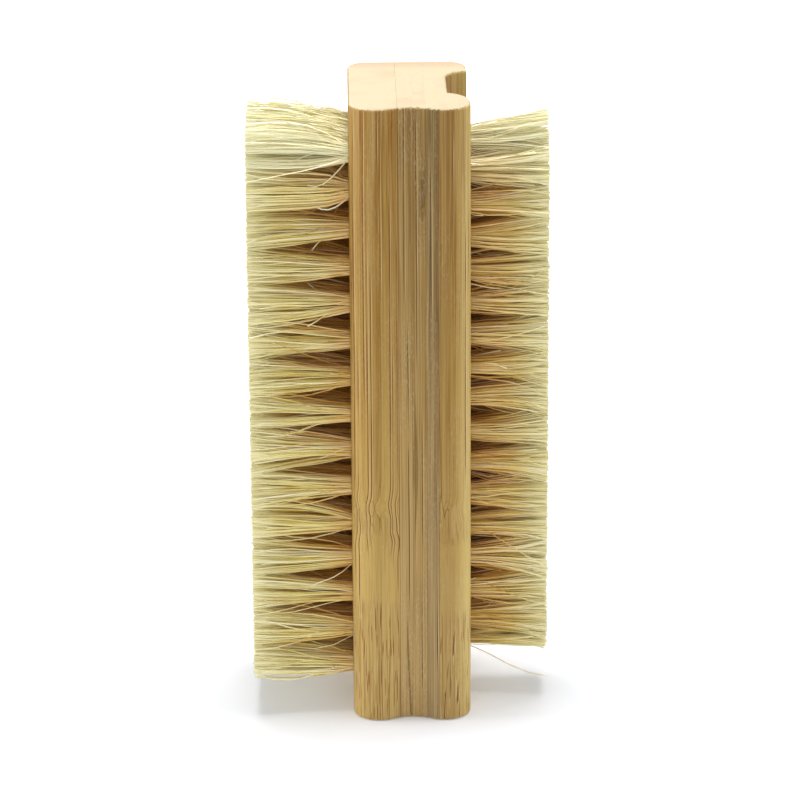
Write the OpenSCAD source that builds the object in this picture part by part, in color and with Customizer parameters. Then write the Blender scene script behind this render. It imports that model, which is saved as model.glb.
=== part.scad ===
// Double-sided nail brush of laminated bamboo, standing on one end.
// X runs from the wide bristle side (-X) to the narrow bristle side (+X), Y from the grooved flank
// (-Y) to the plain one, Z along the length. The origin is the centre of the lower end face.

/* [Block] */
// Length of the wooden block
block_length = 100; // [85:1:130]
// Thickness of the block, from one bristle face to the other
block_width = 18.6; // [17:0.1:24]
// Depth of the block, from the grooved flank to the plain flank
block_depth = 30; // [28:0.5:40]
// Radius of the two long corners beside the grooved flank
front_corner_r = 4; // [2.5:0.1:4.2]
// Radius of the two long corners beside the plain flank
back_corner_r = 3; // [2:0.1:4]

/* [Laminations] */
// Thickness of the board that carries the wide bristle side
wide_board_t = 7.4; // [6.4:0.1:8.4]
// Thickness of the board that carries the channel and the narrow bristle side
channel_board_t = 5; // [4.6:0.1:6]
// Thickness of the core ply beside the wide board, before the plies are pressed to fill the block
core_ply_1_t = 2.4; // [1.2:0.1:2.8]
// Thickness of the middle core ply before pressing
core_ply_2_t = 1.9; // [1.2:0.1:2.2]
// Thickness of the core ply beside the channelled board before pressing
core_ply_3_t = 1.9; // [1.2:0.1:2.2]

/* [Finger groove] */
// Depth of the finger groove along the front flank
groove_depth = 1.4; // [0.6:0.1:1.6]
// Radius of the hollow of the finger groove
groove_hollow_r = 6; // [4:0.5:8]
// Radius of the rounded shoulders on both sides of the groove
groove_shoulder_r = 4; // [2:0.5:5]

/* [Channel] */
// Depth of the channel in which the narrow bristle side is set
channel_depth = 3.3; // [2:0.1:3.8]
// Width of the flat floor of the channel
channel_floor_w = 9.6; // [9.2:0.1:12]
// Radius of the rounded front lip of the channel
channel_lip_r = 5; // [4:0.1:6]
// Radius of the cove that closes the channel at the back
channel_cove_r = 4; // [3.6:0.1:5]

/* [Tuft holes] */
// Diameter of the drilled holes that hold the tufts
hole_d = 3.2; // [2.6:0.1:3.6]
// Depth of the holes in the wide side, from the face of the wood
wide_hole_depth = 6; // [5:0.1:6.3]
// Depth of the holes in the narrow side, from the channel floor
narrow_hole_depth = 5; // [4.5:0.1:6]
// Number of tufts in a row of the wide side
wide_tufts = 15; // [10:1:17]
// Distance between the rows of the wide side
wide_row_pitch = 4.7; // [4.3:0.1:5]
// Distance from an end of the block to the first tuft of the wide side
wide_margin = 8.15; // [6:0.05:10]
// Number of tufts in a row of the narrow side
narrow_tufts = 15; // [10:1:17]
// Distance between the two rows of the narrow side
narrow_row_pitch = 4.8; // [4.4:0.1:5]
// Distance from an end of the block to the first pair of tufts of the narrow side
narrow_margin = 12.7; // [10:0.1:14]
// Step from the last pair of tufts to the single tuft that closes the narrow rows
end_tuft_step = 4; // [3.8:0.1:5]

/* [Bristles] */
// Length of the bristles, from the wood they are rooted in to the trimmed tips
bristle_length = 15.7; // [10:0.1:20]
// Radius of a strand where it leaves the wood
strand_root_r = 0.6; // [0.35:0.05:0.65]
// Radius of a strand at its trimmed tip
strand_tip_r = 0.8; // [0.4:0.05:0.85]
// Distance of a strand from the middle of its tuft where it leaves the wood, each way
strand_root_offset = 0.72; // [0.7:0.01:0.8]
// How much shorter the shortest strand is than the longest
trim_unevenness = 0.5; // [0:0.1:0.8]
// How far a strand tip may stray from its place, each way
tip_stray = 0.2; // [0:0.05:0.2]
// How far the single end tufts of the narrow side lean outwards at their tips
end_tuft_lean = 1.1; // [0.4:0.1:1.4]
// Thickness of the slice of wood that each row of strands is rooted in
slice_t = 0.8; // [0.5:0.1:1.2]
// Width of the rim that a slice of the narrow side has round its tufts
slice_rim = 0.5; // [0.3:0.05:0.6]

/* [Staples] */
// Thickness of the flat wire that holds a tuft in its hole
staple_t = 0.35; // [0.2:0.05:0.5]
// Height of the flat wire along the hole
staple_h = 1.2; // [0.8:0.1:1.6]
// Thickness of the fold of fibres between the wire and the bottom of the hole
fold_t = 0.8; // [0.4:0.1:1.2]

/* [Hidden] */
$fn = 48;

// Number of tuft rows across the wide side, one for each of its nodes
wide_rows = 5;
// Room between the root of a tuft and the wall of its hole, and between a staple and that wall
root_clearance = 0.05;
staple_clearance = 0.03;
// How far every cut runs past the wood it cuts
overrun = 1;
// Strands of a tuft, two along its row by two across it, and points of a strand, in three rings
tuft_strands = 4;
strand_point_count = 9;
// Share of a strand's height and of its spread that it has reached at its bend
bend_height_share = 0.55;
bend_spread_share = 0.85;
// Share of the distance to the next tuft at which a strand tip stands from the middle of its tuft
tip_spread_share = 0.25;
// First of the numbers that start each row's own scatter of tips
scatter_seed = 41;

face_x = block_width / 2;
half_depth = block_depth / 2;
mid_length = block_length / 2;
hole_r = hole_d / 2;
channel_floor_x = face_x - channel_depth;
flat_half_width = half_depth - max(front_corner_r, back_corner_r);

// The three core plies are pressed alike, to fill what the two boards leave of the block's thickness
core_t = block_width - wide_board_t - channel_board_t;
press_share = core_t / (core_ply_1_t + core_ply_2_t + core_ply_3_t);

// Faces between the laminations, from the wide side to the narrow side
ply_1_x = -face_x + wide_board_t;
ply_2_x = ply_1_x + core_ply_1_t * press_share;
ply_3_x = ply_2_x + core_ply_2_t * press_share;
channel_board_x = face_x - channel_board_t;

// Places of the tufts along the length, measured from the middle of the block
wide_pitch = (block_length - 2 * wide_margin) / (wide_tufts - 1);
narrow_pitch = (block_length - 2 * narrow_margin) / (narrow_tufts - 1);
wide_places = [for (i = [0 : wide_tufts - 1]) (i - (wide_tufts - 1) / 2) * wide_pitch];
narrow_places = [for (i = [0 : narrow_tufts - 1]) (i - (narrow_tufts - 1) / 2) * narrow_pitch];
last_pair = mid_length - narrow_margin;
end_tuft = last_pair + end_tuft_step;

// Half the length of the slices of wood that the strands are rooted in
wide_slice_end = wide_places[wide_tufts - 1] + wide_pitch / 2;
narrow_slice_end = last_pair + end_tuft_step / 2;
end_slice_end = end_tuft + hole_r + slice_rim;
narrow_slice_half = narrow_row_pitch / 2 + hole_r + slice_rim;

// Middle of row n of the wide side, and the edges of its slice
function wide_row_v(n) = (n - (wide_rows + 1) / 2) * wide_row_pitch;
function wide_slice_edge(n) =
    n == 0 ? -flat_half_width : n == wide_rows ? flat_half_width : (n - wide_rows / 2) * wide_row_pitch;

// Outline of the block across its length

module rounded_rectangle() {
    long_side = block_depth - front_corner_r - back_corner_r;
    translate([-face_x, -half_depth + front_corner_r]) square([block_width, long_side]);
    translate([-face_x + front_corner_r, -half_depth])
        square([block_width - 2 * front_corner_r, front_corner_r]);
    translate([-face_x + back_corner_r, half_depth - back_corner_r])
        square([block_width - 2 * back_corner_r, back_corner_r]);
    for (side = [-1, 1]) {
        translate([side * (face_x - front_corner_r), -half_depth + front_corner_r]) circle(front_corner_r);
        translate([side * (face_x - back_corner_r), half_depth - back_corner_r]) circle(back_corner_r);
    }
}

// The hollow and the shoulders are arcs that touch: the shoulders end on the flank at shoulder_x
module finger_groove() {
    reach = groove_hollow_r + groove_shoulder_r;
    shoulder_x = sqrt(pow(reach, 2) - pow(reach - groove_depth, 2));
    touch_share = groove_hollow_r / reach;
    touch_x = shoulder_x * touch_share;
    touch_y = groove_depth - groove_hollow_r + (reach - groove_depth) * touch_share;
    translate([0, -half_depth]) {
        difference() {
            translate([-shoulder_x, -overrun]) square([2 * shoulder_x, overrun + touch_y]);
            for (side = [-1, 1])
                translate([side * shoulder_x, groove_shoulder_r]) circle(groove_shoulder_r);
        }
        intersection() {
            translate([0, groove_depth - groove_hollow_r]) circle(groove_hollow_r);
            translate([-touch_x, 0]) square([2 * touch_x, groove_depth + overrun]);
        }
    }
}

// The front wall swells into a round lip and the back wall hollows into a cove
module channel() {
    lip_run = sqrt(pow(channel_lip_r, 2) - pow(channel_lip_r - channel_depth, 2));
    lip_y = -channel_floor_w / 2 - lip_run;
    difference() {
        translate([channel_floor_x, lip_y]) square([channel_depth + overrun, lip_run + channel_floor_w]);
        translate([face_x - channel_lip_r, lip_y]) circle(channel_lip_r);
    }
    translate([channel_floor_x + channel_cove_r, channel_floor_w / 2]) circle(channel_cove_r);
}

module block_outline() {
    difference() {
        rounded_rectangle();
        finger_groove();
        channel();
    }
}

// The wide side and the narrow side are each drawn lying flat, with x along the block, y across it
// and z out of the wood, and then turned into place

module on_wide_side() {
    translate([-face_x, 0, mid_length]) rotate([0, -90, 0]) children();
}

module on_narrow_side() {
    translate([channel_floor_x, 0, mid_length]) rotate([0, 0, 180]) rotate([0, -90, 0]) children();
}

// Calls its children at every tuft of a side

module at_wide_tufts() {
    for (n = [1 : wide_rows], u = wide_places) translate([u, wide_row_v(n), 0]) children();
}

module at_narrow_tufts() {
    for (side = [-1, 1]) {
        for (u = narrow_places) translate([u, side * narrow_row_pitch / 2, 0]) children();
        translate([side * end_tuft, 0, 0]) children();
    }
}

// Holes and the seats of the slices, cut from every lamination that they reach

module hole(depth) {
    translate([0, 0, -depth]) cylinder(h = depth + overrun, r = hole_r);
}

module slice_seat(half_length, half_width) {
    translate([-half_length, -half_width, -slice_t])
        cube([2 * half_length, 2 * half_width, slice_t + overrun]);
}

module wide_cuts() {
    on_wide_side() {
        slice_seat(wide_slice_end, flat_half_width);
        at_wide_tufts() hole(wide_hole_depth);
    }
}

module narrow_cuts() {
    on_narrow_side() {
        slice_seat(narrow_slice_end, narrow_slice_half);
        slice_seat(end_slice_end, hole_r + slice_rim);
        at_narrow_tufts() hole(narrow_hole_depth);
    }
}

module lamination(low_x, high_x) {
    difference() {
        linear_extrude(block_length) intersection() {
            block_outline();
            translate([low_x, -half_depth]) square([high_x - low_x, block_depth]);
        }
        if (low_x < wide_hole_depth - face_x) wide_cuts();
        if (high_x > channel_floor_x - narrow_hole_depth) narrow_cuts();
    }
}

// Strands. Each tuft has two by two of them, and each has three sides, a root in the top face of its
// slice, a bend and a trimmed tip

function mix(a, b, share) = a + (b - a) * share;

function strand_ring(centre, height, radius) =
    [for (turn = [0 : 2]) [centre[0] + radius * cos(120 * turn - 90),
        centre[1] + radius * sin(120 * turn - 90), height]];

function strand_points(root, tip, height) = [
    for (p = strand_ring(root, 0, strand_root_r)) p,
    for (p = strand_ring(mix(root, tip, bend_spread_share), height * bend_height_share,
        mix(strand_root_r, strand_tip_r, bend_height_share))) p,
    for (p = strand_ring(tip, height, strand_tip_r)) p
];

// Faces of a strand whose first point is s
function strand_faces(s) = [
    for (ring = [0, 3], k = [0 : 2]) let (p = s + ring + k, q = s + ring + (k + 1) % 3) each
        [[p, q + 3, q], [p, p + 3, q + 3]],
    [s + 6, s + 8, s + 7]
];

// Faces of a slice's top face between its corners a, b, c and d and the roots of the strands s and t
function cell_faces(s, t, a, b, c, d) = [
    [a, t, b], [a, s, t], [s, t + 2, t], [s, s + 1, t + 2], [b, t + 1, c], [b, t, t + 1],
    [c, s + 2, d], [c, s + 1, s + 2], [c, t + 2, s + 1], [c, t + 1, t + 2], [d, s + 2, a], [a, s + 2, s]
];

// A slice with its strands. places and tip_places hold the tufts along x at root and at tip, v is their
// middle across, ends and edges are the slice's own, and spread is the distance to the next tuft along
// and across. Each tuft has a cell on either side of v, with two of its strands
module strand_row(places, tip_places, v, ends, edges, spread, seed) {
    tufts = len(places);
    scatter = rands(0, 1, 3 * tuft_strands * tufts, seed);
    grid_x = [
        ends[0],
        for (i = [1 : 1 : tufts - 1]) (places[i - 1] + places[i]) / 2,
        ends[1]
    ];
    grid_y = [edges[0], v, edges[1]];
    slice_points = [
        for (x = grid_x, y = grid_y) [x, y, 0],
        for (x = ends, y = edges) [x, y, -slice_t]
    ];
    bottom = len(grid_x) * len(grid_y);
    first_strand = len(slice_points);
    all_strand_points = [
        for (i = [0 : tufts - 1], j = [0, 1], k = [0, 1])
            let (
                chance = 3 * (tuft_strands * i + 2 * j + k),
                way = [2 * k - 1, 2 * j - 1],
                stray = [for (axis = [0, 1]) tip_stray * (2 * scatter[chance + axis] - 1)],
                height = bristle_length - trim_unevenness * scatter[chance + 2],
                root = [places[i], v] + strand_root_offset * way,
                tip = [tip_places[i] + way[0] * spread[0] * tip_spread_share,
                    v + way[1] * spread[1] * tip_spread_share] + stray
            )
            each strand_points(root, tip, height)
    ];
    top_faces = [
        for (i = [0 : tufts - 1], j = [0, 1])
            let (
                a = 3 * i + j,
                s = first_strand + strand_point_count * (tuft_strands * i + 2 * j),
                t = s + strand_point_count
            )
            each concat(cell_faces(s, t, a, a + 3, a + 4, a + 1), strand_faces(s), strand_faces(t))
    ];
    far = 3 * tufts;
    side_faces = [
        for (i = [0 : tufts - 1]) each
            [[bottom, 3 * i, 3 * i + 3], [bottom + 3, 3 * i + 5, 3 * i + 2]],
        [bottom, far, bottom + 2], [bottom + 3, 2, bottom + 1],
        [0, bottom, 1], [1, bottom, bottom + 1], [1, bottom + 1, 2],
        [far, far + 1, bottom + 2], [far + 1, bottom + 3, bottom + 2], [far + 1, far + 2, bottom + 3],
        [bottom, bottom + 2, bottom + 3], [bottom, bottom + 3, bottom + 1]
    ];
    polyhedron(points = concat(slice_points, all_strand_points), faces = concat(top_faces, side_faces));
}

// The gathered root of a tuft fills its hole up to the slice, and is slotted for its staple
module tuft_root(depth) {
    difference() {
        translate([0, 0, root_clearance - depth])
            cylinder(h = depth - root_clearance - slice_t / 2, r = hole_r - root_clearance);
        staple(depth, hole_d);
    }
}

module staple(depth, across) {
    translate([-staple_t / 2, -across / 2, fold_t - depth]) cube([staple_t, across, staple_h]);
}

module bristle_row(places, tip_places, v, ends, edges, spread, seed, depth) {
    strand_row(places, tip_places, v, ends, edges, spread, seed);
    for (u = places) translate([u, v, 0]) tuft_root(depth);
}

module wide_bristle_row(n) {
    color("wheat") on_wide_side()
        bristle_row(wide_places, wide_places, wide_row_v(n), [-wide_slice_end, wide_slice_end],
            [wide_slice_edge(n - 1), wide_slice_edge(n)],
            [wide_pitch, wide_row_pitch], scatter_seed + n, wide_hole_depth);
}

// side is 1 for the row beside the grooved flank and -1 for the row behind it
module narrow_bristle_row(side) {
    v = side * narrow_row_pitch / 2;
    outer = side * narrow_slice_half;
    color("wheat") on_narrow_side()
        bristle_row(narrow_places, narrow_places, v, [-narrow_slice_end, narrow_slice_end],
            [min(outer, 0), max(outer, 0)], [narrow_pitch, narrow_row_pitch],
            scatter_seed - 2 * side, narrow_hole_depth);
}

// side is 1 for the upper end and -1 for the lower end
module narrow_end_tuft(side) {
    near = side * narrow_slice_end;
    far = side * end_slice_end;
    half_width = hole_r + slice_rim;
    color("wheat") on_narrow_side()
        bristle_row([side * end_tuft], [side * (end_tuft + end_tuft_lean)], 0,
            [min(near, far), max(near, far)], [-half_width, half_width],
            [narrow_row_pitch, narrow_row_pitch], scatter_seed - side, narrow_hole_depth);
}

module wide_board() color("burlywood") lamination(-face_x, ply_1_x);
module core_ply_1() color("tan") lamination(ply_1_x, ply_2_x);
module core_ply_2() color("rosybrown") lamination(ply_2_x, ply_3_x);
module core_ply_3() color("tan") lamination(ply_3_x, channel_board_x);
module channel_board() color("burlywood") lamination(channel_board_x, face_x);
module wide_bristle_row_1() wide_bristle_row(1);
module wide_bristle_row_2() wide_bristle_row(2);
module wide_bristle_row_3() wide_bristle_row(3);
module wide_bristle_row_4() wide_bristle_row(4);
module wide_bristle_row_5() wide_bristle_row(5);
module narrow_bristle_row_front() narrow_bristle_row(1);
module narrow_bristle_row_back() narrow_bristle_row(-1);
module narrow_bristle_tuft_upper() narrow_end_tuft(1);
module narrow_bristle_tuft_lower() narrow_end_tuft(-1);
module wide_staples() {
    color("silver") on_wide_side() at_wide_tufts() staple(wide_hole_depth, hole_d - 2 * staple_clearance);
}
module narrow_staples() {
    color("silver") on_narrow_side()
        at_narrow_tufts() staple(narrow_hole_depth, hole_d - 2 * staple_clearance);
}

wide_board();
core_ply_1();
core_ply_2();
core_ply_3();
channel_board();
wide_bristle_row_1();
wide_bristle_row_2();
wide_bristle_row_3();
wide_bristle_row_4();
wide_bristle_row_5();
narrow_bristle_row_front();
narrow_bristle_row_back();
narrow_bristle_tuft_upper();
narrow_bristle_tuft_lower();
wide_staples();
narrow_staples();
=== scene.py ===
import math

import bmesh
import bpy
import numpy as np
from mathutils import Matrix, Vector


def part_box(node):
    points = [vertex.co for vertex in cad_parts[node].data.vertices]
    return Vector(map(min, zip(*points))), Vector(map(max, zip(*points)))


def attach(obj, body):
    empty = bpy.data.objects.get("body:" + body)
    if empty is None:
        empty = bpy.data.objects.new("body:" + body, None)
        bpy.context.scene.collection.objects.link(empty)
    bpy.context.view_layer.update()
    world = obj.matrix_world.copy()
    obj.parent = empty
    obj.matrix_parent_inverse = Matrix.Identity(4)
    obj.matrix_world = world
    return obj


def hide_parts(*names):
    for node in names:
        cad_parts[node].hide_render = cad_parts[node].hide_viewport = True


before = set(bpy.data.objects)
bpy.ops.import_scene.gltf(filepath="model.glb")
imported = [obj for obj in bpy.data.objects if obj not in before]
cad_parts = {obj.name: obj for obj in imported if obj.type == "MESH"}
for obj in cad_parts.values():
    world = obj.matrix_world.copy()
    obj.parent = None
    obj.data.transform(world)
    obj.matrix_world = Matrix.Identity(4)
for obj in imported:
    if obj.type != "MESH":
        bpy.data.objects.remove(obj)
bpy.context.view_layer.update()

MM = 0.001


# The camera
# It stands well back from the grooved flank and looks a little down on it, so that the upper end
# shows. The block leans a third of a degree in the picture.
AIM = Vector((-1.5, 0, 48.7)) * MM
PITCH, YAW, ROLL = math.radians(18.94), math.radians(0.90), math.radians(-0.34)
CAMERA_DISTANCE = 610 * MM
FOCAL_LENGTH = 173.5
NEAREST, FARTHEST = 0.01, 50
camera = bpy.data.objects.new("camera", bpy.data.cameras.new("camera"))
camera.data.lens = FOCAL_LENGTH
camera.data.clip_start, camera.data.clip_end = NEAREST, FARTHEST
camera.matrix_world = (
    Matrix.Translation(AIM)
    @ Matrix.Rotation(-YAW, 4, "Z")
    @ Matrix.Rotation(math.pi / 2 - PITCH, 4, "X")
    @ Matrix.Rotation(ROLL, 4, "Z")
    @ Matrix.Translation((0, 0, CAMERA_DISTANCE))
)
bpy.context.collection.objects.link(camera)
bpy.context.scene.camera = camera
bpy.context.scene.view_settings.view_transform = "Standard"


# The shape of the block
# Bamboo laminations are glued face to face and then shaped as one: a finger groove along the front
# flank, a channel for the narrow bristles, rounded corners, and arrises softened by sanding.
FRONT_CORNER_R, BACK_CORNER_R = 4 * MM, 3 * MM
GROOVE_DEPTH, HOLLOW_R, SHOULDER_R = 1.4 * MM, 6 * MM, 4 * MM
CHANNEL_DEPTH, CHANNEL_FLOOR_W = 3.3 * MM, 9.6 * MM
LIP_R, COVE_R = 5 * MM, 4 * MM
ARRIS_R, ARRIS_STEPS = 0.55 * MM, 4
ARC_STEP = math.radians(6)
QUARTER = math.pi / 2
face_x, half_depth, block_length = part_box("channel_board")[1]
channel_floor_x = face_x - CHANNEL_DEPTH


def arc(x, y, radius, start, end):
    """Points along an arc about (x, y), from angle start to angle end."""
    steps = max(2, round(abs(end - start) / ARC_STEP))
    angles = [start + (end - start) * i / steps for i in range(steps + 1)]
    return [Vector((x + radius * math.cos(a), y + radius * math.sin(a))) for a in angles]


def block_outline():
    """The block's section, counterclockwise from the left end of the front flank."""
    reach = HOLLOW_R + SHOULDER_R
    rise = reach - GROOVE_DEPTH
    shoulder_x = math.sqrt(reach**2 - rise**2)
    touch = math.atan2(rise, shoulder_x)
    shoulder_y = -half_depth + SHOULDER_R
    lip_y = -CHANNEL_FLOOR_W / 2 - math.sqrt(LIP_R**2 - (LIP_R - CHANNEL_DEPTH) ** 2)
    front_x, front_y = face_x - FRONT_CORNER_R, -half_depth + FRONT_CORNER_R
    back_x, back_y = face_x - BACK_CORNER_R, half_depth - BACK_CORNER_R
    points = (
        arc(-front_x, front_y, FRONT_CORNER_R, 2 * QUARTER, 3 * QUARTER)
        + arc(-shoulder_x, shoulder_y, SHOULDER_R, -QUARTER, -touch)
        + arc(0, -half_depth + GROOVE_DEPTH - HOLLOW_R, HOLLOW_R, math.pi - touch, touch)
        + arc(shoulder_x, shoulder_y, SHOULDER_R, math.pi + touch, 3 * QUARTER)
        + arc(front_x, front_y, FRONT_CORNER_R, 3 * QUARTER, 4 * QUARTER)
        + arc(face_x - LIP_R, lip_y, LIP_R, 0, math.acos(1 - CHANNEL_DEPTH / LIP_R))
        + arc(channel_floor_x + COVE_R, CHANNEL_FLOOR_W / 2, COVE_R, math.pi,
              math.acos(CHANNEL_DEPTH / COVE_R - 1))
        + arc(back_x, back_y, BACK_CORNER_R, 0, QUARTER)
        + arc(-back_x, back_y, BACK_CORNER_R, QUARTER, 2 * QUARTER)
    )
    return [p for i, p in enumerate(points) if (p - points[i - 1]).length > ARRIS_R / 10]


def inset(points, distance):
    """The outline moved inwards, each point along the bisector of its two sides."""
    moved = []
    for i, point in enumerate(points):
        before = (point - points[i - 1]).normalized()
        after = (points[(i + 1) % len(points)] - point).normalized()
        inward = Vector((-before.y - after.y, before.x + after.x)).normalized()
        moved.append(point + inward * distance / inward.dot(Vector((-before.y, before.x))))
    return moved


def whole_block():
    """The block as one closed mesh, as if it had been shaped from a single piece."""
    outline = block_outline()
    turns = [QUARTER * i / ARRIS_STEPS for i in range(ARRIS_STEPS + 1)]
    arris = [(ARRIS_R * (1 - math.sin(a)), ARRIS_R * (1 - math.cos(a))) for a in turns]
    stations = arris + [(distance, block_length - height) for distance, height in reversed(arris)]
    block = bmesh.new()
    rings = [
        [block.verts.new((p.x, p.y, height)) for p in inset(outline, distance)]
        for distance, height in stations
    ]
    for low, high in zip(rings, rings[1:]):
        for i in range(len(outline)):
            block.faces.new((low[i - 1], low[i], high[i], high[i - 1]))
    block.faces.new(list(reversed(rings[0])))
    block.faces.new(rings[-1])
    return block


# Bamboo
# Split bamboo, planed and sanded and barely sealed. Brown fibre bundles run the whole length as
# lines, show as specks on the end grain, and break into short dashes where a slat has its node.
class Value:
    """A value in a node tree. Sums and products of values and numbers add Math nodes."""

    def __init__(self, tree, socket=None):
        self.tree, self.socket = tree, socket

    def node(self, kind, sockets, output=0, stops=(), **settings):
        """The output of a new node, after its settings, its ramp's stops and its sockets are set."""
        node = self.tree.nodes.new("ShaderNode" + kind)
        for name, setting in settings.items():
            setattr(node, name, setting)
        for i, (position, tint) in enumerate(stops):
            if i > 1:
                node.color_ramp.elements.new(position)
            node.color_ramp.elements[i].position = position
            node.color_ramp.elements[i].color = tint
        for name, value in sockets.items():
            if isinstance(value, Value):
                self.tree.links.new(value.socket, node.inputs[name])
            else:
                node.inputs[name].default_value = value
        return Value(self.tree, node.outputs[output])

    def math(self, operation, *others):
        return self.node("Math", dict(enumerate((self, *others))), operation=operation)

    def __add__(self, other):
        return self.math("ADD", other)

    def __mul__(self, other):
        return self.math("MULTIPLY", other)

    def __sub__(self, other):
        return self.math("SUBTRACT", other)

    def __rsub__(self, other):
        return self.node("Math", {0: other, 1: self}, operation="SUBTRACT")

    __radd__, __rmul__ = __add__, __mul__

    def between(self, low, high):
        """0 at low and under, 1 at high and over, with a smooth rise. low may be the greater."""
        sockets = {"Value": self, "From Min": low, "From Max": high}
        return self.node("MapRange", sockets, interpolation_type="SMOOTHSTEP")

    def near(self, middle, far, near):
        """0 where this is further than far from middle, rising to 1 where it is within near of it."""
        return (self - middle).math("ABSOLUTE").between(far, near)

    def along_grain(self, cells, seed):
        """A place in cells, so many to the metre across and along the fibres, for a pattern on it."""
        across, along = cells
        sockets = {"Vector": self, "Scale": (across, across, along), "Location": (seed, 2 * seed, 3 * seed)}
        return self.node("Mapping", sockets)

    def noise(self, detail=2.0):
        return self.node("TexNoise", {"Vector": self, "Scale": 1.0, "Detail": detail, "Roughness": 0.5})

    def cells(self):
        """A random value for each cell."""
        tints = self.node("TexVoronoi", {"Vector": self, "Scale": 1.0}, output=1)
        return self.node("SeparateXYZ", {0: tints})

    def seams(self):
        """The distance to the nearest edge of a cell."""
        return self.node("TexVoronoi", {"Vector": self, "Scale": 1.0}, feature="DISTANCE_TO_EDGE")

    def mixed(self, tint, other):
        """tint where this value is 0 and other where it is 1."""
        return self.node("Mix", {0: self, 6: tint, 7: other}, output=2, data_type="RGBA")


def colour(red, green, blue):
    """A colour given as sRGB bytes, in the linear values that sockets take."""
    return tuple(((c / 255 + 0.055) / 1.055) ** 2.4 for c in (red, green, blue)) + (1,)


def new_finish(name, **constants):
    """A material, the Value to start its maths from, and its Principled node's inputs."""
    finish = bpy.data.materials.new(name)
    finish.use_nodes = True
    surface = finish.node_tree.nodes["Principled BSDF"]
    for socket, value in constants.items():
        surface.inputs[socket.replace("_", " ")].default_value = value
    return finish, Value(finish.node_tree), surface.inputs


def feed(inputs, name, value):
    value.tree.links.new(value.socket, inputs[name])


# The dust colour is that of sanding dust in the pores, and it also paints the light that the table bounces
# onto the lower part.
PEACH, GLINT, DUST_AND_BOUNCE_LIGHT = colour(217, 189, 158), colour(204, 178, 122), colour(224, 212, 184)
SKIN_SIDE = colour(212, 190, 114)
SKIN_X, PEACH_Y = (6.4 * MM, 8.8 * MM), (9.5 * MM, 13.5 * MM)
# Heights of the painted shade towards the top and of the painted light, from the table's bounce, low down.
PAINTED_SHADE_UPWARDS, PAINTED_LIGHT_DOWNWARDS, BOUNCE_LIGHT_DOWNWARDS = (10 * MM, 110 * MM), (80 * MM, 0), (60 * MM, 0)
GLUE_LINE = 0.09 * MM
VEIN_HALF_W, VEIN_CORE, VEIN_GLINT_X, VEIN_FADE = 0.11 * MM, 0.05 * MM, 0.17 * MM, 3 * MM
SWAY, SWERVE = 0.4 * MM, 2.6 * MM
SWERVE_ABOVE, SWERVE_REACH, PLAIN_REACH = 8 * MM, (8 * MM, 1 * MM), (7 * MM, 5 * MM)
DASHES_FROM, DASHES_FULL, DASHES_WANDER = 5 * MM, 9 * MM, 16 * MM
GRAIN_RELIEF = 0.05 * MM
NO_JOINT = -1.0
# How many cells of each pattern go to a metre, across the grain and along it.
SLOW_SWAY, QUICK_SWAY, DASH_EDGE = (120, 22), (190, 170), (420, 30)
STRIPS, PATCHES, BUNDLES, FIBRES, HAIRS = (330, 3), (500, 80), (1300, 7), (4600, 24), (6000, 110)
FAINTNESS, RINGS, LINES, VEIN_BREAKS = (500, 30), (380, 3), (3600, 14), (60, 60)
DASHES, DUST_SPECKS, DUST_CLOUDS = (5600, 200), (6500, 1300), (260, 60)
PORES, END_PATCHES, GLUE_BREAKS = (2200, 200), (140, 140), (300, 60)


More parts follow.
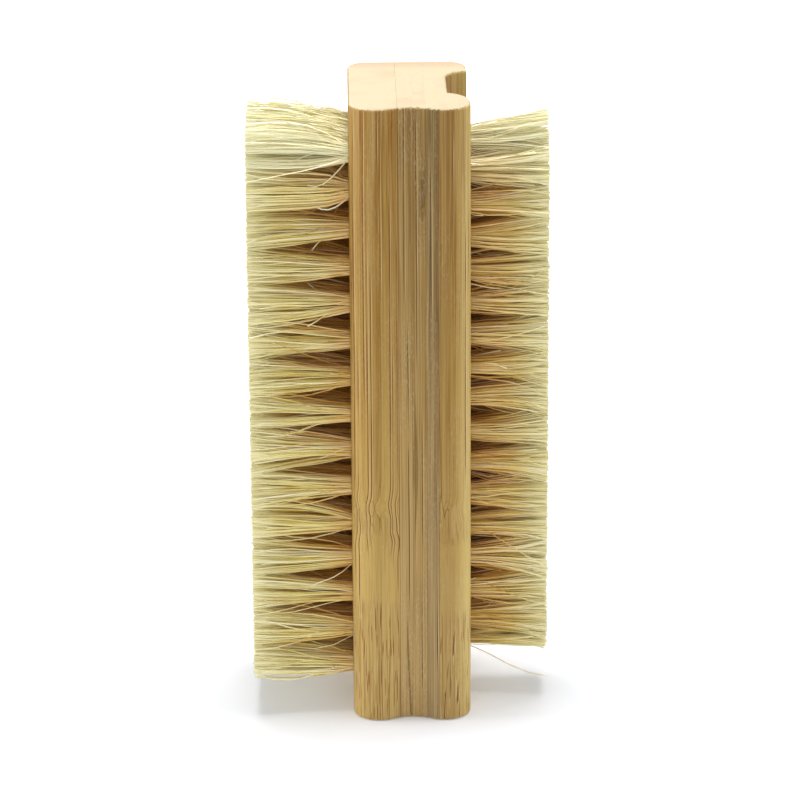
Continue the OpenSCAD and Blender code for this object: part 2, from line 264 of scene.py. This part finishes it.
def bamboo(name, pale, mid, dark, end_grain, seed, faces, veins, dusty, ragged, joint_z=NO_JOINT):
    """Bamboo of those colours. faces holds the place and strength of each glue line, and veins the
    place of each of its darkest fibres with the heights that it runs between. dusty is how much
    sanding dust its pores hold, ragged how torn its arris is, and joint_z the height of its node."""
    finish, start, inputs = new_finish(name, IOR=1.4, Specular_IOR_Level=0.3)
    place = start.node("TexCoord", {}, output="Object")
    x, y, z = (start.node("SeparateXYZ", {0: place}, output=i) for i in range(3))

    # The fibres sway a little everywhere. At a node they swerve and fade, so that the wood is plain
    # there, and below it they come up as short dashes.
    swerve = z.near(joint_z + SWERVE_ABOVE, *SWERVE_REACH)
    lined = 1 - z.near(joint_z, *PLAIN_REACH)
    uneven = (place.along_grain(DASH_EDGE, seed + 19).noise(1) - 0.5) * DASHES_WANDER
    below = (z + uneven).between(joint_z - DASHES_FROM, joint_z - DASHES_FULL)
    sway = (place.along_grain(SLOW_SWAY, seed).noise(1) - 0.5) * SWAY
    sway = sway + (place.along_grain(QUICK_SWAY, seed + 0.5).noise(1) - 0.5) * swerve * SWERVE
    shift = start.node("CombineXYZ", {0: sway, 1: sway})
    fibre = start.node("VectorMath", {0: place, 1: shift}, operation="ADD")

    # Broad strips and patches, and yellower beside the skin of the cane. The wood is darker towards
    # the top and paler low down, which is painted shade and painted light from the table's bounce.
    strips = fibre.along_grain(STRIPS, seed + 1).noise(1)
    patches = fibre.along_grain(PATCHES, seed + 2).noise(2)
    body = strips.between(0.36, 0.64).mixed(mid, pale)
    body = (patches.between(0.52, 0.68) * 0.16).mixed(body, dark)
    body = (patches.between(0.48, 0.32) * 0.25).mixed(body, pale)
    # Painted shade towards the top, and painted light from the table's bounce low down.
    body = (z.between(*PAINTED_SHADE_UPWARDS) * 0.48).mixed(body, dark)
    body = (z.between(*PAINTED_LIGHT_DOWNWARDS) * 0.55).mixed(body, pale)
    body = (z.between(*BOUNCE_LIGHT_DOWNWARDS) * 0.1).mixed(body, DUST_AND_BOUNCE_LIGHT)
    body = (x.between(*SKIN_X) * 0.6).mixed(body, SKIN_SIDE)

    # Bundles of fibres and single fibres, some darker and some paler, with dark seams between bundles.
    bundles = fibre.along_grain(BUNDLES, seed + 3)
    bundle, single = bundles.cells(), fibre.along_grain(FIBRES, seed + 4).cells()
    body = (bundle.between(0.5, 1.0) * lined * 0.13).mixed(body, dark)
    body = (bundle.between(0.5, 0.0) * lined * 0.22).mixed(body, pale)
    body = (single.between(0.5, 1.0) * (0.3 + 0.7 * lined) * 0.15).mixed(body, dark)
    body = (single.between(0.5, 0.0) * (0.3 + 0.7 * lined) * 0.26).mixed(body, GLINT)
    faint = fibre.along_grain(FAINTNESS, seed + 5).noise(1)
    strength = (0.06 + 0.6 * faint.between(0.40, 0.62)) * lined
    body = (bundles.seams().between(0.045, 0.012) * strength).mixed(body, dark)
    ring = (fibre.along_grain(RINGS, seed + 6).noise(1) * 6.5).math("FRACT")
    lines = fibre.along_grain(LINES, seed + 7).noise(1)
    body = (ring.between(0.88, 0.97) * faint.between(0.55, 0.45) * lined * 0.4).mixed(body, GLINT)
    body = (ring.between(0.06, 0.02) * lines.between(0.55, 0.42) * lined * 0.6).mixed(body, dark)

    # The darkest veins, each with a glint beside it.
    fibre_x = start.node("SeparateXYZ", {0: fibre}, output=0)
    for i, (vein_x, low, high) in enumerate(veins):
        running = fibre.along_grain(VEIN_BREAKS, seed + 41 + i).noise(2).between(0.30, 0.55)
        running = running * z.between(low - VEIN_FADE, low + VEIN_FADE)
        running = running * z.between(high + VEIN_FADE, high - VEIN_FADE)
        glint = (fibre_x - vein_x).near(VEIN_GLINT_X, VEIN_HALF_W, VEIN_CORE)
        body = (glint * running * 0.7).mixed(body, GLINT)
        body = (fibre_x.near(vein_x, VEIN_HALF_W, VEIN_CORE) * running * 0.95).mixed(body, dark)

    # Hair-fine lines, the dashes below the node, and sanding dust in the pores.
    hairs = fibre.along_grain(HAIRS, seed + 8).noise(1)
    body = (hairs.between(0.52, 0.70) * 0.25).mixed(body, pale)
    body = (hairs.between(0.46, 0.28) * 0.22).mixed(body, dark)
    dashes = fibre.along_grain(DASHES, seed + 17).noise(0)
    beside = fibre.along_grain(DASHES, seed + 17.3).noise(0)
    body = (beside.between(0.35, 0.31) * below * 0.7).mixed(body, GLINT)
    body = (dashes.between(0.34, 0.31) * below * 0.85).mixed(body, dark)
    dust = fibre.along_grain(DUST_SPECKS, seed + 9).noise(1)
    clouds = place.along_grain(DUST_CLOUDS, seed + 10).noise(2)
    body = (dust.between(0.50, 0.70) * clouds.between(0.40, 0.62) * dusty).mixed(body, DUST_AND_BOUNCE_LIGHT)

    # The pale end grain, pinker at the back, meets the flanks in a torn line.
    normal_z = start.node("SeparateXYZ", {0: start.node("TexCoord", {}, output="Normal")}, output=2)
    end = (normal_z.math("ABSOLUTE") + ragged * (lines - 0.5)).between(0.45, 0.90)
    pores = fibre.along_grain(PORES, seed + 23).noise(1)
    flushes = place.along_grain(END_PATCHES, seed + 27).noise(1)
    ends = y.between(*PEACH_Y).mixed(end_grain, PEACH)
    ends = (flushes.between(0.5, 0.7) * 0.5).mixed(ends, PEACH)
    ends = (pores.between(0.42, 0.26) * 0.10).mixed(ends, mid)
    surface = end.mixed(body, ends)

    # Glue lines, which are fainter on the end grain.
    for face, strength in faces:
        unbroken = fibre.along_grain(GLUE_BREAKS, seed + 29).noise(1).between(0.3, 0.5)
        glue = x.near(face, GLUE_LINE, 0) * unbroken
        surface = (glue * (strength - 0.7 * end).math("MAXIMUM", 0.04)).mixed(surface, dark)
    feed(inputs, "Base Color", surface)
    feed(inputs, "Roughness", 0.48 + 0.2 * lines + 0.12 * end)
    bump = start.node("Bump", {"Height": lines + 0.5 * hairs, "Strength": 0.3, "Distance": GRAIN_RELIEF})
    feed(inputs, "Normal", bump)
    return finish


# The laminations
# A thick board carries the wide bristles and a thinner one the channel. Between them are three thin,
# greyer plies. Tuft holes are drilled from both sides after the glue has set.
HOLE_R = 1.6 * MM
WIDE_HOLE_DEPTH, NARROW_HOLE_DEPTH = 6 * MM, 5 * MM
WIDE_ROWS, WIDE_ROW_PITCH = 5, 4.7 * MM
WIDE_TUFTS, WIDE_MARGIN = 15, 8.15 * MM
NARROW_ROW_PITCH, END_TUFT_STEP = 4.8 * MM, 4 * MM
NARROW_TUFTS, NARROW_MARGIN = 15, 12.7 * MM
DRILL_SIDES, DRILL_CLEARANCE = 32, 1 * MM
WOOD_CREASE = math.radians(35)


def spaced(count, margin):
    """Heights of tufts spaced evenly along the block, between margins at its ends."""
    step = (block_length - 2 * margin) / (count - 1)
    return [margin + step * i for i in range(count)]


wide_heights, narrow_heights = spaced(WIDE_TUFTS, WIDE_MARGIN), spaced(NARROW_TUFTS, NARROW_MARGIN)
wide_row_y = [(row - (WIDE_ROWS - 1) / 2) * WIDE_ROW_PITCH for row in range(WIDE_ROWS)]
narrow_row_y = [-NARROW_ROW_PITCH / 2, NARROW_ROW_PITCH / 2]
end_heights = [narrow_heights[0] - END_TUFT_STEP, narrow_heights[-1] + END_TUFT_STEP]
wide_holes = [(y, z) for y in wide_row_y for z in wide_heights]
narrow_holes = [(y, z) for y in narrow_row_y for z in narrow_heights] + [(0, z) for z in end_heights]


def drill_bits(name, holes, bottom_x, top_x):
    """One object of cylinders along X, one for each hole, to cut them all at once."""
    bits = bmesh.new()
    for y, z in holes:
        place = Matrix.Translation(((bottom_x + top_x) / 2, y, z)) @ Matrix.Rotation(QUARTER, 4, "Y")
        bmesh.ops.create_cone(bits, cap_ends=True, segments=DRILL_SIDES, radius1=HOLE_R, radius2=HOLE_R,
                              depth=abs(top_x - bottom_x), matrix=place)
    mesh = bpy.data.meshes.new(name)
    bits.to_mesh(mesh)
    tool = bpy.data.objects.new(name, mesh)
    bpy.context.collection.objects.link(tool)
    return tool


wide_bits = drill_bits("wide_bits", wide_holes, -face_x + WIDE_HOLE_DEPTH, -face_x - DRILL_CLEARANCE)
narrow_bits = drill_bits("narrow_bits", narrow_holes, channel_floor_x - NARROW_HOLE_DEPTH, face_x)


def show(name, mesh, finish, node, crease):
    """The piece of that mesh in place of its solid, smooth but for edges sharper than crease."""
    mesh.shade_smooth()
    mesh.set_sharp_from_angle(angle=crease)
    mesh.materials.clear()
    mesh.materials.append(finish)
    piece = bpy.data.objects.new(name, mesh)
    bpy.context.collection.objects.link(piece)
    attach(piece, "root")
    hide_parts(node)


def lamination(node, finish):
    """The layer of the block between a node's two glue faces, drilled."""
    low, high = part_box(node)
    layer = whole_block()
    for plane_x, outward in ((low.x, -1), (high.x, 1)):
        if abs(plane_x) < face_x - ARRIS_R:
            cut = bmesh.ops.bisect_plane(layer, geom=layer.verts[:] + layer.edges[:] + layer.faces[:],
                                         plane_co=(plane_x, 0, 0), plane_no=(outward, 0, 0), clear_outer=True)
            edges = [e for e in cut["geom_cut"] if isinstance(e, bmesh.types.BMEdge)]
            bmesh.ops.edgeloop_fill(layer, edges=edges)
    bmesh.ops.recalc_face_normals(layer, faces=layer.faces)
    mesh = bpy.data.meshes.new(node + "_wood")
    layer.to_mesh(mesh)
    blank = bpy.data.objects.new("blank", mesh)
    bpy.context.collection.objects.link(blank)
    for bits in (wide_bits, narrow_bits):
        reach = [v.co.x for v in bits.data.vertices]
        if min(reach) < high.x and max(reach) > low.x:
            drill = blank.modifiers.new("drill", "BOOLEAN")
            drill.operation, drill.solver, drill.object = "DIFFERENCE", "MANIFOLD", bits
    drilled = bpy.data.meshes.new_from_object(blank.evaluated_get(bpy.context.evaluated_depsgraph_get()))
    bpy.data.objects.remove(blank)
    show(node + "_wood", drilled, finish, node, WOOD_CREASE)


def vein_places(*places):
    return [tuple(value * MM for value in place) for place in places]


END_GRAIN = colour(220, 206, 172)
BOARD = colour(201, 167, 88), colour(173, 138, 60), colour(124, 66, 6), END_GRAIN
CHANNEL_BOARD = colour(181, 146, 73), colour(150, 113, 46), colour(112, 62, 8), END_GRAIN
CORE = colour(192, 156, 89), colour(162, 126, 61), colour(108, 76, 34), END_GRAIN
GREY_CORE = colour(178, 146, 90), colour(146, 115, 66), colour(78, 57, 30), END_GRAIN
GLUE_STRENGTHS = {"core_ply_1": 1.0, "core_ply_2": 0.45, "core_ply_3": 0.45, "channel_board": 0.6}
glue_lines = [(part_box(node)[0].x, strength) for node, strength in GLUE_STRENGTHS.items()]

wide_veins = vein_places(
    (-8.75, 24, 97), (-8.2, 20, 62), (-7.25, 55, 100), (-6.75, 29, 77), (-6.2, 26, 74),
    (-5.1, 82, 101), (-4.7, 72, 101), (-3.3, 29, 86), (-2.9, 27, 60), (-2.2, 22, 78))
channel_veins = vein_places((6.4, 76, 95), (6.0, 5, 22), (8.4, 40, 80))
lamination("wide_board", bamboo(
    "wide_board_bamboo", *BOARD, seed=1, faces=glue_lines[:1], veins=wide_veins,
    dusty=0.10, ragged=0.5, joint_z=26 * MM))
lamination("core_ply_1", bamboo(
    "first_ply_bamboo", *CORE, seed=31, faces=glue_lines[:2],
    veins=vein_places((-0.9, 70, 101), (-0.4, 20, 64)), dusty=0.20, ragged=1.1))
lamination("core_ply_2", bamboo(
    "middle_ply_bamboo", *CORE, seed=53, faces=glue_lines[1:3],
    veins=vein_places((0.9, 60, 98), (1.6, 4, 50)), dusty=0.22, ragged=1.1))
lamination("core_ply_3", bamboo(
    "last_ply_bamboo", *GREY_CORE, seed=79, faces=glue_lines[2:],
    veins=vein_places((3.1, 66, 90), (3.9, 10, 40)), dusty=0.14, ragged=1.1))
lamination("channel_board", bamboo(
    "channel_board_bamboo", *CHANNEL_BOARD, seed=111, faces=glue_lines[3:], veins=channel_veins,
    dusty=0.10, ragged=1.0, joint_z=24 * MM))
for bits in (wide_bits, narrow_bits):
    bpy.data.objects.remove(bits)


# The bristles
# Pale plant fibres, folded in bundles over wire staples in blind holes and trimmed square. Each
# tuft leaves its hole as a tight round bundle, fans out, and meets its neighbours before the tips.
STRAND_R = 0.06 * MM, 0.11 * MM
ROOT_SWELL, TIP_SWELL = 1.05, 1.15
BRISTLE_LENGTH, TRIM_ERROR = 15.7 * MM, 0.10 * MM
TUFT_R, ROOT_DEPTH = 1.48 * MM, 4.2 * MM
STRAND_SIDES, STRAND_STEPS = 3, 5
STRAND_CREASE = math.radians(75)
GOLDEN_ANGLE = math.pi * (3 - math.sqrt(5))
ROOT_SCATTER, TIP_SCATTER, TUFT_SCATTER, SPREAD_SCATTER = 0.03 * MM, 0.40 * MM, 0.3 * MM, 0.08
WISPS, WISP_PULL, WISP_BOW = 9, (0.10, 0.60), 0.25 * MM
LOOSE_SHARE, LOOSE_SCATTER = 0.10, 0.9 * MM
STRAY_SHARE, STRAY_SCATTER = 0.025, 2.4 * MM
WAVE, LOOSE_WAVE, KINK_SHARE = 0.16 * MM, 0.5 * MM, 0.5
WORN_SHARE, MOST_WORN = 0.06, 3 * MM
BROKEN_STRAYS, BROKEN_LENGTH = 0.35, (0.2, 0.7)
TUFT_BEND_SCATTER, BEND_SCATTER, LEAST_BEND = 0.12, 0.08, 0.4
FACING_RISE, FACING_FROM, CLOSING_SPREAD = 2.5, 0.6, 0.15
EDGE_MARGIN = 1 * MM


def strand_paths(chance, strands, place, spread, bend, closing, face, out):
    """Paths and radii of one tuft's strands, from inside the hole to the tips. spread holds how many
    times wider the tuft is at its tips, towards -Y, +Y, -Z and +Z. It fans out at once where bend is
    over 1, and late where it is under 1. closing is by how much the bend is greater for the strands
    that face the middle of the field, where they close the gaps to the next tufts."""
    number = np.arange(strands)
    distance = np.sqrt((number + 0.5) / strands) * TUFT_R
    angle = number * GOLDEN_ANGLE + chance.uniform(0, 2 * math.pi)
    root = np.stack((distance * np.cos(angle), distance * np.sin(angle)), 1)
    root += chance.normal(0, ROOT_SCATTER, root.shape)
    facing = np.clip(-FACING_RISE * root[:, 0] * np.sign(place[0]) / TUFT_R - FACING_FROM, 0, 1)
    widen = np.where(root < 0, spread[0::2], spread[1::2]) * chance.normal(1, SPREAD_SCATTER)
    widen[:, 1] *= 1 + CLOSING_SPREAD * closing * facing

    # Tips gather in wisps, and some strands are loose, stray, worn or broken. All end within the
    # block's own depth and length.
    tip = root * widen + chance.normal(0, TIP_SCATTER, root.shape) + chance.normal(0, TUFT_SCATTER, 2)
    middles = tip[chance.choice(strands, WISPS, replace=False)]
    nearest = np.argmin(np.linalg.norm(tip[:, None] - middles[None], axis=2), axis=1)
    tip += (middles[nearest] - tip) * chance.uniform(*WISP_PULL, (strands, 1))
    loose = chance.random(strands) < LOOSE_SHARE
    stray = chance.random(strands) < STRAY_SHARE
    tip += np.where(loose, LOOSE_SCATTER, 0)[:, None] * chance.normal(0, 1, tip.shape)
    tip += np.where(stray, STRAY_SCATTER, 0)[:, None] * chance.normal(0, 1, tip.shape)
    lowest = (-half_depth + EDGE_MARGIN, EDGE_MARGIN)
    highest = (half_depth - EDGE_MARGIN, block_length - EDGE_MARGIN)
    tip = np.clip(tip + place, lowest, highest) - place
    wave = np.where(loose | stray, LOOSE_WAVE, WAVE)[:, None, None]
    bow = wave * chance.normal(0, 1, (strands, 1, 2)) + chance.normal(0, WISP_BOW, (WISPS, 1, 2))[nearest]
    kink = KINK_SHARE * wave * chance.normal(0, 1, (strands, 1, 2))
    reach = BRISTLE_LENGTH + chance.normal(0, TRIM_ERROR, strands)
    worn = chance.random(strands) < WORN_SHARE
    reach -= np.where(worn, chance.uniform(0, MOST_WORN, strands), 0)
    is_broken = stray & (chance.random(strands) < BROKEN_STRAYS)
    broken = np.where(is_broken, chance.uniform(*BROKEN_LENGTH, strands), 1)
    reach *= broken
    tip = root + (tip - root) * np.sqrt(broken)[:, None]

    # Each path runs from the bottom of the hole to its mouth, and from there in even steps to the tip.
    share = np.concatenate(([0], np.linspace(0, 1, STRAND_STEPS + 1)))[None, :, None]
    bend = bend + chance.normal(0, TUFT_BEND_SCATTER) + chance.normal(0, BEND_SCATTER, (strands, 1, 1))
    bend = np.maximum(LEAST_BEND, bend + closing * facing[:, None, None])
    fan = np.where(bend < 1, share ** (1 / bend), 1 - (1 - share) ** bend)
    across = root[:, None] + (tip - root)[:, None] * fan
    across += bow * np.sin(math.pi * share) + kink * np.sin(2 * math.pi * share)
    along = share[..., 0] * reach[:, None]
    along[:, 0] = -ROOT_DEPTH
    paths = np.empty((strands, STRAND_STEPS + 2, 3))
    paths[..., 0] = face + out * along
    paths[..., 1:] = across + np.array(place)
    swell = np.linspace(ROOT_SWELL, TIP_SWELL, STRAND_STEPS + 2)
    return paths, chance.uniform(*STRAND_R, (strands, 1)) * swell


UV_MARGIN = 0.04


def strand_mesh(name, paths, radii, turned, **shades):
    """Tubes along the paths with closed tips, each turned about its path. shades are values of each
    strand for its material, and each point has its reach along the strand."""
    count, steps = paths.shape[:2]
    tangent = np.gradient(paths, axis=1)
    tangent /= np.linalg.norm(tangent, axis=2, keepdims=True)
    side = np.cross(tangent, (0, 0, 1))
    side /= np.linalg.norm(side, axis=2, keepdims=True)
    over = np.cross(side, tangent)
    turns = turned[:, None, None, None] + (np.arange(STRAND_SIDES) * 2 * math.pi / STRAND_SIDES)[:, None]
    ring = np.cos(turns) * side[:, :, None] + np.sin(turns) * over[:, :, None]
    points = paths[:, :, None] + radii[:, :, None, None] * ring
    corners, corner_uv = [], []
    for step in range(steps - 1):
        for turn in range(STRAND_SIDES):
            for i, j in ((0, 0), (0, 1), (1, 1), (1, 0)):
                corners.append((step + i) * STRAND_SIDES + (turn + j) % STRAND_SIDES)
                corner_uv.append(((step + i) / steps, (turn + j) / STRAND_SIDES))
    for turn in range(STRAND_SIDES):
        corners.append((steps - 1) * STRAND_SIDES + turn)
        corner_uv.append(((steps - 0.5 * (turn % 2)) / steps, turn / STRAND_SIDES))
    loop_counts = [4] * ((steps - 1) * STRAND_SIDES) + [STRAND_SIDES]
    loops = (np.array(corners) + np.arange(count)[:, None] * steps * STRAND_SIDES).reshape(-1)
    mesh = bpy.data.meshes.new(name)
    mesh.vertices.add(count * steps * STRAND_SIDES)
    mesh.vertices.foreach_set("co", points.reshape(-1))
    mesh.loops.add(len(loops))
    mesh.loops.foreach_set("vertex_index", loops)
    mesh.polygons.add(count * len(loop_counts))
    starts = np.cumsum([0] + loop_counts)
    loop_starts = starts[:-1] + np.arange(count)[:, None] * starts[-1]
    mesh.polygons.foreach_set("loop_start", loop_starts.reshape(-1))
    mesh.update(calc_edges=True)

    # Each strand has its own square of the map, so that no two strands share any of it.
    columns = math.ceil(math.sqrt(count))
    square = np.stack((np.arange(count) % columns, np.arange(count) // columns), -1)[:, None]
    uv = (square + UV_MARGIN + (1 - 2 * UV_MARGIN) * np.array(corner_uv)) / columns
    mesh.uv_layers.new(name="OFBake").data.foreach_set("uv", uv.reshape(-1))
    shades = {shade: np.repeat(values, steps * STRAND_SIDES) for shade, values in shades.items()}
    reach = np.maximum(0, np.arange(-1, steps - 1)) / (steps - 2)
    shades["reach"] = np.tile(np.repeat(reach, STRAND_SIDES), count)
    for shade, values in shades.items():
        mesh.attributes.new(shade, "FLOAT", "POINT").data.foreach_set("value", values)
    return mesh


FIBRE_TONES = ((0.0, colour(230, 204, 102)), (0.35, colour(242, 227, 138)),
               (0.75, colour(249, 239, 174)), (1.0, colour(253, 247, 218)))
# The second colour here is painted light on the tips, and the third painted light on the uppermost tufts.
SHEEN, TIP_LIGHT, TOP_LIGHT = colour(255, 240, 196), colour(255, 250, 210), colour(255, 251, 212)
# Colours of the painted shade towards the root and deep between the tufts.
ROOT_SHADE, DEEP_SHADE = colour(224, 156, 44), colour(136, 76, 14)


def bristle_finish():
    """Glossy plant fibre. It is paler at the tips and in the uppermost tufts, which is painted light,
    and darker towards the root and deep in the field, which is painted shade."""
    finish, start, inputs = new_finish("bristle_fibre", IOR=1.55, Sheen_Weight=0.4, Sheen_Roughness=0.5,
                                       Sheen_Tint=SHEEN)
    tone, reach, depth, upper = (start.node("Attribute", {}, output="Fac", attribute_name=shade)
                                 for shade in ("tone", "reach", "depth", "upper"))
    lower = 1 - upper
    fibre = start.node("ValToRGB", {0: tone}, stops=FIBRE_TONES)
    # Painted light: the tips paler, for the side lamps that catch them.
    fibre = (reach.between(0.6, 1.0) * 0.7).mixed(fibre, TIP_LIGHT)
    # Painted light: the uppermost tufts paler, for the light from above that they catch.
    fibre = (upper * 0.9).mixed(fibre, TOP_LIGHT)
    # Painted shade: darker deep in the field and towards the root, where shade falls among the tufts.
    within = depth.math("MINIMUM", 1) * reach.between(0.95, 0.35)
    fibre = (within * (1 - 0.85 * upper) * 0.9).mixed(fibre, ROOT_SHADE)
    fibre = (reach.between(0.4, 0) * lower * 0.5).mixed(fibre, ROOT_SHADE)
    fibre = (depth.between(0.7, 1.3) * reach.between(0.7, 0.25) * lower * 0.9).mixed(fibre, DEEP_SHADE)
    feed(inputs, "Base Color", fibre)
    feed(inputs, "Roughness", 0.26 + 0.2 * tone)
    return finish


bristle = bristle_finish()
# Over what distance inside the field's edge the painted shade deepens, across the rows and along the block.
HALF_FIELD_SHARE, DEEP_ACROSS, DEEP_ALONG = 0.45, 4 * MM, 9 * MM


def bristle_piece(name, node, seed, tufts, closing, holes, strands, face, out, rim, deepest, upper_reach):
    """One node's tufts, each given by its place, its spread and its bend. A strand's depth in the
    field, which sets its painted shade, counts from rim inside its edge and ends at deepest. The
    uppermost strands are painted palest, for the light from above."""
    chance = np.random.default_rng(seed)
    grown = [strand_paths(chance, strands, place, spread, bend, closing, face, out)
             for place, spread, bend in tufts]
    paths, radii = (np.concatenate(part) for part in zip(*grown))
    holes = np.array(holes)
    field_half = np.ptp(holes, axis=0) / 2 + TUFT_R
    inwards = field_half - np.abs(paths[:, 1, 1:] - (holes.max(0) + holes.min(0)) / 2)
    full_depth = np.array((HALF_FIELD_SHARE * field_half[0].clip(0, DEEP_ACROSS), DEEP_ALONG))
    depth = np.clip((inwards - rim) / full_depth, 0, deepest).min(1)
    # How high the strand's root is, which sets the painted light on the uppermost tufts.
    upper = np.clip((paths[:, 1, 2] - holes.max(0)[1] + upper_reach) / upper_reach, 0, 1)
    mesh = strand_mesh(name, paths, radii, chance.uniform(0, 2 * math.pi, len(paths)),
                       tone=chance.beta(1.6, 1.4, len(paths)), depth=depth, upper=upper)
    show(name, mesh, bristle, node, STRAND_CREASE)


WIDE_FIELD = {"holes": wide_holes, "strands": 160, "face": -face_x, "out": -1,
              "rim": 0.4 * MM, "deepest": 0.9, "upper_reach": 6.5 * MM}
ACROSS, ALONG, ACROSS_FREE, ALONG_LOWER, ALONG_UPPER = 1.75, 2.3, 1.5, 1.6, 2.5
WIDE_BEND, WIDE_CLOSING, WIDE_SEED = 1.0, 0.0, 100
TOP_BENDS = {1: 2.2, 2: 4.5}    # by the tuft's number from the top
for row, y in enumerate(wide_row_y):
    tufts = []
    for i, z in enumerate(wide_heights):
        spread = np.array((
            ACROSS_FREE if row == 0 else ACROSS, ACROSS_FREE if row == WIDE_ROWS - 1 else ACROSS,
            ALONG_LOWER if i == 0 else ALONG, ALONG_UPPER if i == WIDE_TUFTS - 1 else ALONG))
        tufts.append(((y, z), spread, TOP_BENDS.get(WIDE_TUFTS - i, WIDE_BEND)))
    bristle_piece(f"wide_fibres_{row + 1}", f"wide_bristle_row_{row + 1}", WIDE_SEED + row, tufts,
                  WIDE_CLOSING, **WIDE_FIELD)

# The narrow field's rim lies outside its edge and its depth goes past 1, so its painted shade reaches further
# and darker.
NARROW_FIELD = {"holes": narrow_holes, "strands": 240, "face": channel_floor_x, "out": 1,
                "rim": -0.5 * MM, "deepest": 1.1, "upper_reach": 9 * MM}
NARROW_ACROSS, NARROW_ALONG, NARROW_UPPER, NARROW_BEND = 1.9, 2.25, 2.9, 0.65
FRONT_CLOSING, BACK_CLOSING = 2.4, 5.0
for name, y, closing, seed in (("front", narrow_row_y[0], FRONT_CLOSING, 205),
                               ("back", narrow_row_y[1], BACK_CLOSING, 204)):
    tufts = [((y, z), np.array((NARROW_ACROSS, NARROW_ACROSS, NARROW_ALONG, NARROW_ALONG)), NARROW_BEND)
             for z in narrow_heights]
    tufts[-1][1][3] = NARROW_UPPER
    bristle_piece(f"narrow_fibres_{name}", f"narrow_bristle_row_{name}", seed, tufts, closing, **NARROW_FIELD)

END_ACROSS, END_BEND, END_CLOSING, END_SEED = 1.8, 1.0, 2.4, 305
for name, z, low, high in (("lower", end_heights[0], 1.2, 1.8), ("upper", end_heights[1], 2.2, 3.1)):
    tufts = [((0, z), np.array((END_ACROSS, END_ACROSS, low, high)), END_BEND)]
    bristle_piece(f"narrow_fibres_{name}", f"narrow_bristle_tuft_{name}", END_SEED, tufts, END_CLOSING,
                  **NARROW_FIELD)


# The staples
# Short flats of drawn steel wire, driven down each hole across the fold of its tuft. They hold the
# tuft by biting into the wall of the hole, and nothing of them shows.
DRAW_MARKS = (9000, 9000)
steel, steel_start, steel_inputs = new_finish("staple_steel", Metallic=1.0)
drawn = steel_start.node("TexCoord", {}, output="Object").along_grain(DRAW_MARKS, 1).noise(2)
feed(steel_inputs, "Base Color", drawn.mixed(colour(150, 148, 144), colour(196, 195, 192)))
feed(steel_inputs, "Roughness", 0.22 + 0.2 * drawn)
for node in ("wide_staples", "narrow_staples"):
    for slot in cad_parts[node].material_slots:
        slot.material = steel


# The floor and the light
# A white table under a soft light from above, as in a product photograph. The camera and
# reflections see plain white behind it, and the object's shadow stays on the table.
FLOOR_HALF = 4.0
WHITE_NEAR, WHITE_FROM, WHITE_TO = 0.12, 40 * MM, 300 * MM
TABLE_PATCHES = (3, 3)
table_finish, table_start, table_inputs = new_finish("white_table", Roughness=0.6)
table_place = table_start.node("TexCoord", {}, output="Object")
table_tone = table_place.along_grain(TABLE_PATCHES, 1).noise(1)
feed(table_inputs, "Base Color", table_tone.mixed(colour(240, 243, 250), colour(244, 247, 254)))
from_object = table_start.node("VectorMath", {0: table_place}, output=1, operation="LENGTH")
seen_white = WHITE_NEAR + (1 - WHITE_NEAR) * from_object.between(WHITE_FROM, WHITE_TO)
feed(table_inputs, "Emission Color", table_start.node("LightPath", {}, output="Is Camera Ray") * seen_white)
table_inputs["Emission Strength"].default_value = 1.0
table_mesh = bpy.data.meshes.new("table")
table_corners = [(-FLOOR_HALF, -FLOOR_HALF, 0), (FLOOR_HALF, -FLOOR_HALF, 0),
                 (FLOOR_HALF, FLOOR_HALF, 0), (-FLOOR_HALF, FLOOR_HALF, 0)]
table_mesh.from_pydata(table_corners, [], [(0, 1, 2, 3)])
table_mesh.materials.append(table_finish)
table = bpy.data.objects.new("table", table_mesh)
bpy.context.collection.objects.link(table)

AMBIENT = 0.28
world = bpy.data.worlds.new("studio")
bpy.context.scene.world = world
world.use_nodes = True
sky = Value(world.node_tree)
camera_ray, glossy_ray, clear_ray = (sky.node("LightPath", {}, output=f"Is {kind} Ray")
                                     for kind in ("Camera", "Glossy", "Transmission"))
seen = (camera_ray + glossy_ray + clear_ray).math("MINIMUM", 1.0)
dim = sky.node("Background", {"Color": (1, 1, 1, 1), "Strength": AMBIENT})
white = sky.node("Background", {"Color": (1, 1, 1, 1), "Strength": 1.0})
backdrop = sky.node("MixShader", {0: seen, 1: dim, 2: white})
world.node_tree.links.new(backdrop.socket, world.node_tree.nodes["World Output"].inputs["Surface"])


def softbox(name, place, size, level):
    """A square lamp that faces the object, whose middle it lights to that level by itself."""
    lamp = bpy.data.lights.new(name, "AREA")
    lamp.shape, lamp.size = "SQUARE", size
    to_object = Vector((0, 0, block_length / 2)) - Vector(place)
    lamp.energy = level * (math.pi * to_object.length) ** 2
    holder = bpy.data.objects.new(name, lamp)
    holder.location = place
    holder.rotation_euler = to_object.to_track_quat("-Z", "Y").to_euler()
    bpy.context.collection.objects.link(holder)


softbox("top_softbox", place=(0, 0.05, 0.75), size=0.28, level=0.84)
softbox("front_softbox", place=(0, -1.1, 0.35), size=0.8, level=0.22)
softbox("right_softbox", place=(0.8, 0.05, 0.25), size=0.4, level=0.38)
softbox("left_softbox", place=(-0.8, 0.05, 0.25), size=0.4, level=0.56)
